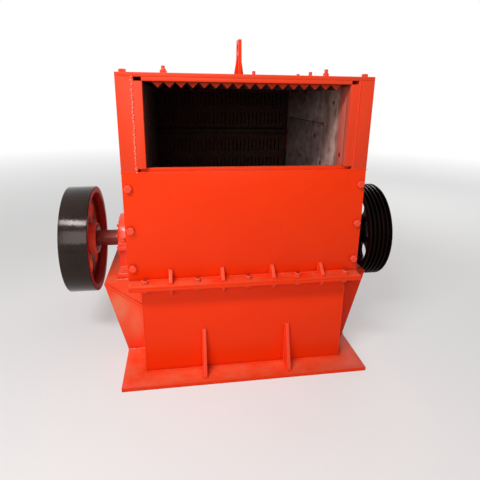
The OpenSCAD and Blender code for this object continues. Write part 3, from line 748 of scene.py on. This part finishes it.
# Geometry Nodes: helpers that several trees share
def readAttribute(tree, name, kind):
    return addOut(tree, "GeometryNodeInputNamedAttribute", {"Name": name}, "Attribute",
                      data_type=kind)


def aimOutward(tree):
    facing = readAttribute(tree, "facing", "FLOAT_VECTOR")
    return addOut(tree, "FunctionNodeAlignRotationToVector", {"Vector": facing}, axis="Z")


def randomNumber(tree, low, high, seed):
    inputs = {2: low, 3: high, "Seed": seed}
    return addOut(tree, "FunctionNodeRandomValue", inputs, 1, data_type="FLOAT")


def addLift(tree, part, height):
    offset = addOut(tree, "ShaderNodeCombineXYZ", {2: height})
    return addOut(tree, "GeometryNodeTransform", {"Geometry": part, "Translation": offset})


def addCylinder(tree, sides, radius, depth):
    inputs = {"Vertices": sides, "Radius": radius, "Depth": depth}
    return addOut(tree, "GeometryNodeMeshCylinder", inputs, "Mesh")


def addCone(tree, sides, bottom, top, depth):
    inputs = {"Vertices": sides, "Radius Bottom": bottom, "Radius Top": top, "Depth": depth}
    return addOut(tree, "GeometryNodeMeshCone", inputs, "Mesh")


def joinParts(tree, parts):
    join = addNode(tree, "GeometryNodeJoinGeometry")
    for part in parts:
        tree.links.new(part, join.inputs[0])
    return join.outputs[0]


# leaves a part out where its size is zero
def partIfAny(tree, size, part):
    return addOut(tree, "GeometryNodeSwitch", {"Switch": size, "True": part},
                      input_type="GEOMETRY")


def placeCopies(tree, inputs, material):
    placed = addOut(tree, "GeometryNodeInstanceOnPoints", inputs)
    real = addOut(tree, "GeometryNodeRealizeInstances", {"Geometry": placed})
    return setMaterial(tree, real, material)


def setMaterial(tree, part, material, where=True):
    inputs = {"Geometry": part, "Selection": where, "Material": material}
    return addOut(tree, "GeometryNodeSetMaterial", inputs)


# bolts stand on points that carry the way they face; shares are of the size across flats
boltShape = {
    "washerDepth": 0.003, "washerSides": 28, "chamferDepth": 0.0018, "chamferSides": 24,
    "chamferShare": 0.49, "faceShare": 0.43, "studSides": 20, "turns": 7.0, "turnSteps": 14,
    "ridge": 0.0011, "ridgeSides": 4,
}


def makeBoltTree(shape):
    tree, given = newGroup("hexBolts", "GeometryNodeTree", {
        "Points": "geometry", "Across flats": 0.036,
        "Head height": 0.015, "Washer": 0.024,
        "Stud": 0.0, "Stud radius": 0.012,
        "Seed": 4, "Material": "material", "Stud material": "material",
    }, ("Geometry", "geometry"))
    flats, head, stud = given["Across flats"], given["Head height"], given["Stud"]
    headMiddle = plus(tree, times(tree, head, 0.5), shape["washerDepth"])
    headTop = plus(tree, head, shape["washerDepth"])
    studMiddle = plus(tree, headTop, times(tree, stud, 0.5))
    hexagon = addCylinder(tree, 6, addMath(tree, "DIVIDE", flats, math.sqrt(3)), head)
    chamfer = addCone(tree, shape["chamferSides"],
                      times(tree, flats, shape["chamferShare"]),
                      times(tree, flats, shape["faceShare"]), shape["chamferDepth"])
    washer = addCylinder(tree, shape["washerSides"], given["Washer"], shape["washerDepth"])
    rod = addCylinder(tree, shape["studSides"], given["Stud radius"], stud)
    spiral = addOut(tree, "GeometryNodeCurveSpiral", {
        "Resolution": shape["turnSteps"], "Rotations": shape["turns"],
        "Start Radius": given["Stud radius"], "End Radius": given["Stud radius"], "Height": stud})
    ridge = addOut(tree, "GeometryNodeCurvePrimitiveCircle", {
        "Resolution": shape["ridgeSides"], "Radius": shape["ridge"]}, mode="RADIUS")
    thread = addOut(tree, "GeometryNodeCurveToMesh", {
        "Curve": spiral, "Profile Curve": ridge, "Fill Caps": True})
    threaded = joinParts(tree, (addLift(tree, rod, studMiddle), addLift(tree, thread, headTop)))
    marked = addOut(tree, "GeometryNodeStoreNamedAttribute", {
        "Geometry": threaded, "Name": "isStud", "Value": True},
        data_type="BOOLEAN", domain="FACE")
    bolt = joinParts(tree, (
        addLift(tree, hexagon, headMiddle), addLift(tree, chamfer, headTop),
        partIfAny(tree, given["Washer"], addLift(tree, washer, shape["washerDepth"] / 2)),
        partIfAny(tree, stud, marked)))
    spin = addOut(tree, "ShaderNodeCombineXYZ", {
        2: randomNumber(tree, 0.0, math.tau, given["Seed"])})
    spun = addOut(tree, "FunctionNodeRotateRotation", {
        "Rotation": aimOutward(tree), "Rotate By": spin}, rotation_space="LOCAL")
    coated = placeCopies(tree, {
        "Points": given["Points"], "Instance": bolt, "Rotation": spun}, given["Material"])
    isStud = readAttribute(tree, "isStud", "BOOLEAN")
    dipped = setMaterial(tree, coated, given["Stud material"], isStud)
    return closeGroup(tree, dipped)


# a weld bead is a row of overlapping ripples along a seam; a ripple is a share of the
# pitch long, and strays less along the seam than across it
rippleShape = {"segments": 8, "rings": 5, "length": 0.85, "stray": (1, 0.3, 1)}


def makeWeldTree(shape):
    tree, given = newGroup("weldBeads", "GeometryNodeTree", {
        "Seams": "geometry", "Pitch": 0.006, "Width": 0.006,
        "Wander": 0.0, "Least": 0.75, "Most": 1.2,
        "Seed": 9, "Material": "material",
    }, ("Geometry", "geometry"))
    curve = addOut(tree, "GeometryNodeMeshToCurve", {"Mesh": given["Seams"]})
    steps = addNode(tree, "GeometryNodeCurveToPoints", {
        "Curve": curve, "Length": given["Pitch"]}, mode="LENGTH").outputs
    ball = addOut(tree, "GeometryNodeMeshUVSphere", {
        "Segments": shape["segments"], "Rings": shape["rings"], "Radius": 1.0}, "Mesh")
    ripple = addOut(tree, "GeometryNodeSetShadeSmooth", {"Geometry": ball})
    drift = addOut(tree, "FunctionNodeRandomValue", {
        0: [-reach for reach in shape["stray"]], 1: shape["stray"], "Seed": given["Seed"]},
        data_type="FLOAT_VECTOR")
    offset = addOut(tree, "ShaderNodeVectorMath", {0: drift, "Scale": given["Wander"]},
                        operation="SCALE")
    strayed = addOut(tree, "GeometryNodeSetPosition", {
        "Geometry": steps["Points"], "Offset": offset})
    vary = randomNumber(tree, given["Least"], given["Most"], given["Seed"])
    across = times(tree, given["Width"], vary)
    along = times(tree, given["Pitch"], shape["length"])
    size = addOut(tree, "ShaderNodeCombineXYZ", {0: across, 1: across, 2: along})
    coated = placeCopies(tree, {
        "Points": strayed, "Instance": ripple, "Rotation": steps["Rotation"], "Scale": size},
        given["Material"])
    return closeGroup(tree, coated)


# low round plugs on points that carry the way they face
plugShape = {"sides": 20, "topShare": 0.82}


def makePlugTree(shape):
    tree, given = newGroup("linerPlugs", "GeometryNodeTree", {
        "Points": "geometry", "Radius": 0.016, "Height": 0.003,
        "Material": "material",
    }, ("Geometry", "geometry"))
    top = times(tree, given["Radius"], shape["topShare"])
    disc = addCone(tree, shape["sides"], given["Radius"], top, given["Height"])
    coated = placeCopies(tree, {
        "Points": given["Points"], "Instance": disc, "Rotation": aimOutward(tree)},
        given["Material"])
    return closeGroup(tree, coated)


boltTree = makeBoltTree(boltShape)
weldTree = makeWeldTree(rippleShape)
plugTree = makePlugTree(plugShape)


def growPiece(name, seedMesh, tree, values, body, slotName):
    piece = linkPiece(name, seedMesh)
    grow = piece.modifiers.new("grow", "NODES")
    grow.node_group = tree
    for socket in tree.interface.items_tree:
        if socket.item_type == "SOCKET" and socket.in_out == "INPUT" and socket.name in values:
            grow[socket.identifier] = values[socket.name]
    ready = bpy.context.evaluated_depsgraph_get()
    grown = bpy.data.meshes.new_from_object(piece.evaluated_get(ready), depsgraph=ready)
    grown.name = name
    piece.modifiers.remove(grow)
    piece.data = grown
    finishPiece(piece, body, slotName)


def boltSeeds(name, places):
    mesh = bpy.data.meshes.new(name)
    mesh.from_pydata([point for point, facing in places], [], [])
    ways = mesh.attributes.new("facing", "FLOAT_VECTOR", "POINT")
    for i, (point, facing) in enumerate(places):
        ways.data[i].vector = facing
    return mesh


def growBolts(name, look, places):
    growPiece(name, boltSeeds(name, places), boltTree, {
        "Across flats": look["flats"], "Head height": look["height"], "Washer": look["washer"],
        "Stud": look["stud"], "Stud radius": look["studRadius"],
        "Material": materials["highlitProudPaint"], "Stud material": materials[look["studPaint"]]},
        "housing", "paint")


toFront, toBack, toTop = (0, -1, 0), (0, 1, 0), (0, 0, 1)
toLeft, toRight, toFloor = (-1, 0, 0), (1, 0, 0), (0, 0, -1)
bothSides = (-1, 1)

# bolts of the housing: size in metres, then where they stand; a plain bolt has a head only
plainBolt = {"washer": 0.0, "stud": 0.0, "studRadius": 0.0, "studPaint": "highlitProudPaint"}
panelBolts = dict(plainBolt, flats=0.038, height=0.017, x=0.669,
                  z=(0.731, 0.962, 1.203, 1.45, 1.68), frontRows=3)
places = [((side * panelBolts["x"], frontY, z), toFront)
          for side in bothSides for z in panelBolts["z"][:panelBolts["frontRows"]]]
places += [((side * panelBolts["x"], backY, z), toBack)
           for side in bothSides for z in panelBolts["z"]]
growBolts("panel_bolts", panelBolts, places)

splitBolts = dict(plainBolt, flats=0.032, height=0.018, washer=0.019, stud=0.008,
                  studRadius=0.010, studPaint="studPaint", y=0.778, sideX=0.664,
                  x=(-0.604, -0.302, 0.0, 0.302, 0.604), sideY=(-0.60, -0.38, 0.14, 0.38, 0.60))
feet = [(x, side * splitBolts["y"]) for x in splitBolts["x"] for side in bothSides]
feet += [(side * splitBolts["sideX"], y) for side in bothSides for y in splitBolts["sideY"]]
places = []
for x, y in feet:
    places += [((x, y, splitTop), toTop), ((x, y, splitUnder), toFloor)]
growBolts("split_bolts", splitBolts, places)

coverStuds = dict(plainBolt, flats=0.032, height=0.016, washer=0.023, stud=0.022,
                  studRadius=0.010, x=0.46, y=(-0.60, -0.31, -0.03, 0.25, 0.53),
                  byLug=(0.097, -0.28))
places = [((side * coverStuds["x"], y, coverTop), toTop)
          for side in bothSides for y in coverStuds["y"]]
places.append(((*coverStuds["byLug"], coverTop), toTop))
growBolts("cover_studs", coverStuds, places)

coverBolts = dict(plainBolt, flats=0.034, height=0.013, x=0.668, y=(-0.66, -0.33, 0.0, 0.33, 0.66))
places = [((side * coverBolts["x"], y, coverTop), toTop)
          for side in bothSides for y in coverBolts["y"]]
growBolts("cover_bolts", coverBolts, places)

# each bearing housing has one bolt at each end of its foot and a pair through each ear
bearingBolts = dict(plainBolt, flats=0.030, height=0.014, washer=0.020, stud=0.010,
                    studRadius=0.009, x=0.753, pairX=0.02, earY=0.189, earHeight=0.026,
                    footY=0.255, footHeight=0.042)
footTop = platformTop + bearingBolts["footHeight"]
earTop = shaftZ + bearingBolts["earHeight"]
places = []
for side in bothSides:
    for end in bothSides:
        footY, earY = (shaftY + end * bearingBolts[k] for k in ("footY", "earY"))
        places.append(((side * bearingBolts["x"], footY, footTop), toTop))
        for way in bothSides:
            x = side * (bearingBolts["x"] + way * bearingBolts["pairX"])
            places.append(((x, earY, earTop), toTop))
growBolts("bearing_bolts", bearingBolts, places)

capBolts = dict(plainBolt, flats=0.017, height=0.008, ring=0.108, count=8)
places = []
for outer, facing in ((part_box("left_cap")[0].x, toLeft), (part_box("right_cap")[1].x, toRight)):
    for i in range(capBolts["count"]):
        turn = math.tau * (i + 0.5) / capBolts["count"]
        places.append(((outer, shaftY + capBolts["ring"] * math.cos(turn),
                        shaftZ + capBolts["ring"] * math.sin(turn)), facing))
growBolts("end_cover_bolts", capBolts, places)

nipples = dict(plainBolt, flats=0.013, height=0.009, washer=0.010, stud=0.009,
               studRadius=0.0045)
capMiddle = (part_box("right_cap")[0].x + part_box("right_cap")[1].x) / 2
growBolts("grease_nipples", nipples, [
    ((side * capMiddle, shaftY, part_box("right_cap")[1].z), toTop) for side in bothSides])

# plugs over the bolts that hold the side liners: distance along the wall and height
linerPlugs = {
    "radius": 0.015, "height": 0.003, "places": (
        (-0.482, 1.661), (-0.324, 1.521), (-0.163, 1.432), (-0.636, 1.365), (0.154, 1.252),
        (0.444, 1.206), (-0.309, 1.263), (-0.433, 1.259), (0.112, 1.675)),
}
for side, facing, name in ((-1, toRight, "left_liner_plugs"), (1, toLeft, "right_liner_plugs")):
    places = [((side * linerX, y, z), facing) for y, z in linerPlugs["places"]]
    growPiece(name, boltSeeds(name, places), plugTree, {
        "Radius": linerPlugs["radius"], "Height": linerPlugs["height"],
        "Material": materials["plugMetal"]}, "housing", "wear_metal")
print("bolts grown")


# weld seams are straight runs from one point to another; most are neat, some by hand
neatBead = {"pitch": 0.0065, "width": 0.0048, "wander": 0.0, "least": 0.75, "paint": "seamPaint"}
thinBead = dict(neatBead, width=0.0030, least=0.60)
handBead = {"pitch": 0.0125, "width": 0.0058, "wander": 0.0020, "least": 0.35,
            "paint": "glintStitchPaint"}


def seamMesh(name, seams):
    points, edges = [], []
    for start, end in seams:
        edges.append((len(points), len(points) + 1))
        points += [start, end]
    mesh = bpy.data.meshes.new(name)
    mesh.from_pydata(points, edges, [])
    return mesh


def growWelds(name, look, seams):
    growPiece(name, seamMesh(name, seams), weldTree, {
        "Pitch": look["pitch"], "Width": look["width"], "Wander": look["wander"],
        "Least": look["least"], "Material": materials[look["paint"]]}, "housing", "paint")


# beside the mouth: lumpy on the left, thin on the right
jambBeads = {
    "left": dict(handBead, pitch=0.0075, width=0.0060, wander=0.0028, least=0.30),
    "right": dict(thinBead, width=0.0036),
    "inset": 0.010,
}
jambX = upperX - jambBeads["inset"]
for side, name in ((-1, "left"), (1, "right")):
    growWelds(name + "_jamb_welds", jambBeads[name], [
        ((side * jambX, frontY, sillZ), (side * jambX, frontY, coverUnder))])

gussetHalf = 0.010
splitGussets = {"x": (-0.456, -0.152, 0.152, 0.456), "depth": 0.075, "height": 0.065}
baseGussets = {"x": (-0.264, 0.264), "depth": 0.115, "height": 0.280}


def gussetSeams(look, end, foot, rise):
    face = end * abs(frontY)
    seams = []
    for x in look["x"]:
        for edge in (x - gussetHalf, x + gussetHalf):
            corner = (edge, face, foot)
            seams.append((corner, (edge, face + end * look["depth"], foot)))
            seams.append((corner, (edge, face, foot + rise * look["height"])))
    return seams


seams = []
for end in bothSides:
    seams += gussetSeams(splitGussets, end, splitTop, 1)
    seams += gussetSeams(splitGussets, end, splitUnder, -1)
    seams += gussetSeams(baseGussets, end, flangeTop, 1)
growWelds("gusset_welds", neatBead, seams)

# by hand: the brackets' feet, the housings' soles and the lug's foot
handSeams = {"footX": 0.762, "soleX": (0.818, 0.698)}
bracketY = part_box("left_bracket")[0].y
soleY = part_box("left_housing")[0].y
lugLow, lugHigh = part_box("lifting_lug")
seams = []
for side in bothSides:
    outer, inner = (side * x for x in handSeams["soleX"])
    seams.append(((side * handSeams["footX"], bracketY, flangeTop),
                  (side * lowerX, bracketY, flangeTop)))
    seams.append(((outer, soleY, platformTop), (inner, soleY, platformTop)))
for x in (lugLow.x, lugHigh.x):
    seams.append(((x, lugLow.y, coverTop), (x, lugHigh.y, coverTop)))
growWelds("hand_welds", handBead, seams)

# thin: the brackets' slanting edge, the panel's top corners and the box's upright corners
slant = {"outerX": 0.885, "outerZ": 0.505, "innerZ": 0.312}
seams = []
for side in bothSides:
    seams.append(((side * slant["outerX"], bracketY, slant["outerZ"]),
                  (side * lowerX, bracketY, slant["innerZ"])))
    seams.append(((side * bodyX, frontY, sillZ), (side * linerX, frontY, sillZ)))
    for end in bothSides:
        x, y = side * lowerX, end * frontY
        seams.append(((x, y, flangeTop), (x, y, splitUnder)))
growWelds("corner_welds", thinBead, seams)

# round the lower box, along the base flange and the split flange
seams = []
for end in bothSides:
    y = end * abs(frontY)
    seams += [((-lowerX, y, z), (lowerX, y, z)) for z in (flangeTop, splitUnder, splitTop)]
for side in bothSides:
    x = side * lowerX
    seams += [((x, frontY, z), (x, -frontY, z)) for z in (flangeTop, splitUnder)]
growWelds("box_welds", neatBead, seams)
print("welds grown")


# a white studio: the floor fades into the background from fadeFrom to fadeTo
floorLook = {
    "size": 60.0, "tone": (0.80, 0.79, 0.78, 1), "paler": (0.816, 0.8058, 0.7956, 1),
    "grain": {"Scale": 0.7, "Contrast": 0.4}, "rough": 0.85, "specular": 0.1,
    "lift": 0.35, "fadeFrom": 2.5, "fadeTo": 11.0,
}
white = (1, 1, 1, 1)


# 1 for the rays that see the background: camera, glossy and transmission
def seenRays(tree):
    rays = addNode(tree, "ShaderNodeLightPath").outputs
    seen = addMath(tree, "MAXIMUM", rays["Is Camera Ray"], rays["Is Glossy Ray"])
    return addMath(tree, "MAXIMUM", seen, rays["Is Transmission Ray"])


def makeFloor(look):
    half = look["size"] / 2
    mesh = bpy.data.meshes.new("studioFloor")
    mesh.from_pydata([(-half, -half, 0), (half, -half, 0), (half, half, 0), (-half, half, 0)],
                     [], [(0, 1, 2, 3)])
    material, tree, shader, place = newMaterial("studioFloor")
    grain = useEffect(tree, "tone", place, look["grain"])
    feed(tree, shader, {"Base Color": addMix(tree, grain, look["tone"], look["paler"]),
                        "Roughness": look["rough"], "Specular IOR Level": look["specular"]})
    away = addVectorMath(tree, "LENGTH", place)
    fade = addRange(tree, away, look["fadeFrom"], look["fadeTo"], look["lift"])
    fade = times(tree, fade, seenRays(tree))
    glow = addOut(tree, "ShaderNodeEmission", {"Color": white, "Strength": 1.0})
    mixed = addOut(tree, "ShaderNodeMixShader", {0: fade, 1: shader.outputs[0], 2: glow})
    feed(tree, tree.nodes["Material Output"], {"Surface": mixed})
    mesh.materials.append(material)
    linkPiece("studioFloor", mesh)


# the world is white where it is seen and dim where it lights
def makeWorld(ambient):
    world = bpy.data.worlds.new("studio")
    scene.world = world
    world.use_nodes = True
    tree = world.node_tree
    tree.nodes.clear()
    dim, bright = (addOut(tree, "ShaderNodeBackground", {"Color": white, "Strength": strength})
                   for strength in (ambient, 1.0))
    mixed = addOut(tree, "ShaderNodeMixShader", {0: seenRays(tree), 1: dim, 2: bright})
    addNode(tree, "ShaderNodeOutputWorld", {"Surface": mixed})


# soft boxes: place, point they face, width, height and brightness
lamps = {
    "highWindow": {"at": (-1.98, -3.06, 4.34), "to": (-1.054, -0.40, 0.90),
                   "width": 2.2, "height": 0.66, "radiance": 31.0},
    "lowWindow": {"at": (-1.73, -4.45, 2.40), "to": (-1.054, -0.45, 0.80),
                  "width": 2.6, "height": 2.0, "radiance": 3.8},
    "backWindow": {"at": (3.6, 3.8, 3.4), "to": (0.3, 0.3, 0.9),
                   "width": 2.6, "height": 2.0, "radiance": 5.5},
}


def makeLamp(name, setup):
    light = bpy.data.lights.new(name, "AREA")
    light.shape = "RECTANGLE"
    light.size = setup["width"]
    light.size_y = setup["height"]
    light.energy = setup["radiance"] * math.pi * setup["width"] * setup["height"]
    lamp = bpy.data.objects.new(name, light)
    back = (Vector(setup["at"]) - Vector(setup["to"])).normalized()
    side = upward.cross(back).normalized()
    turn = Matrix((side, back.cross(side), back)).transposed()
    lamp.matrix_world = Matrix.Translation(setup["at"]) @ turn.to_4x4()
    lamp.visible_camera = False
    scene.collection.objects.link(lamp)


makeFloor(floorLook)
makeWorld(ambient=0.18)
for lampName, lampSetup in lamps.items():
    makeLamp(lampName, lampSetup)
scene.view_settings.view_transform = "Standard"
print("studio set")
